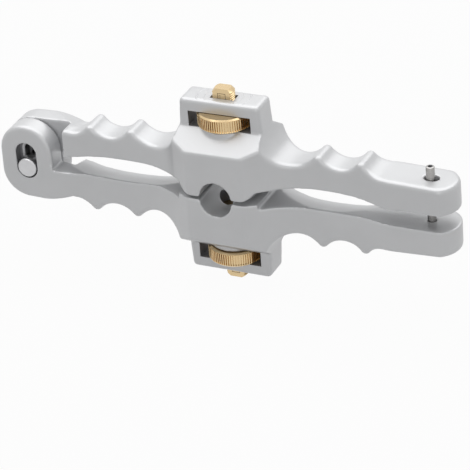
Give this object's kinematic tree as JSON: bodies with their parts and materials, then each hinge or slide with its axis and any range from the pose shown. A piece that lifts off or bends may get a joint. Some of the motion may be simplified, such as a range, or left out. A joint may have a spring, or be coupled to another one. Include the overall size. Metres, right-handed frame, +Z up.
{
  "type": "fibre stripper",
  "caption": "Hinged cable jacket stripper: two cast arms with finger grips clamp a round channel, and knurled nuts set the blade cartridges.",
  "frame": {"origin": "centre of the round cable channel on the lower arm's parting face, midway through the block", "axes": "+X along the arms from the hinge to the guide pin, +Y along the cable away from the viewer, +Z up along the lower blade axis"},
  "size_m": [0.2132, 0.0356, 0.0932],
  "materials": {
    "cast_body": "satin cast, lightly burnished",
    "brass_parts": "turned and knurled, satin",
    "pin_steel": "turned, bright",
    "blade_steel": "ground"
  },
  "bodies": {
    "lower_arm": {"lower_arm": "cast_body", "guide_pin": "pin_steel"},
    "pivot": {"pivot_pin": "pin_steel"},
    "collar": {"pivot_collar": "pin_steel"},
    "upper_arm": {"upper_arm": "cast_body"},
    "lower_wheel": {"lower_thumbwheel": "brass_parts"},
    "upper_wheel": {"upper_thumbwheel": "brass_parts"},
    "lower_cartridge": {"lower_blade_holder": "brass_parts", "lower_blade": "blade_steel", "lower_blade_screw": "pin_steel"},
    "upper_cartridge": {"upper_blade_holder": "brass_parts", "upper_blade": "blade_steel", "upper_blade_screw": "pin_steel"}
  },
  "joints": [
    {"name": "pivot_slide", "type": "slide", "parent": "lower_arm", "child": "pivot", "axis": [0, 0, 1], "range_m": [0, 0.0071]},
    {"name": "arm_hinge", "type": "hinge", "parent": "pivot", "child": "collar", "pos_m": [-0.0945, 0, -0.0026], "axis": [0, -1, 0], "range_deg": [-0.9, 60]},
    {"name": "upper_slot_slide", "type": "slide", "parent": "collar", "child": "upper_arm", "axis": [-0.0166, 0, 0.9999], "range_m": [0, 0.0019]},
    {"name": "lower_wheel_turn", "type": "hinge", "parent": "lower_arm", "child": "lower_wheel", "pos_m": [0, 0, -0.03155], "axis": [0, 0, -1], "range_deg": [-1440, 1080]},
    {"name": "lower_cartridge_slide", "type": "slide", "parent": "lower_arm", "child": "lower_cartridge", "axis": [0, 0, -1], "range_m": [-0.00301, 0.00401]},
    {"name": "upper_wheel_turn", "type": "hinge", "parent": "upper_arm", "child": "upper_wheel", "pos_m": [-0.00058, 0, 0.03311], "axis": [-0.0166, 0, 0.9999], "range_deg": [-1440, 1080]},
    {"name": "upper_cartridge_slide", "type": "slide", "parent": "upper_arm", "child": "upper_cartridge", "axis": [-0.0166, 0, 0.9999], "range_m": [-0.00301, 0.00401]}
  ],
  "couplings": [
    {"joint": "lower_cartridge_slide", "follows": "lower_wheel_turn", "m_per_rad": -0.00015915},
    {"joint": "upper_cartridge_slide", "follows": "upper_wheel_turn", "m_per_rad": -0.00015915}
  ]
}
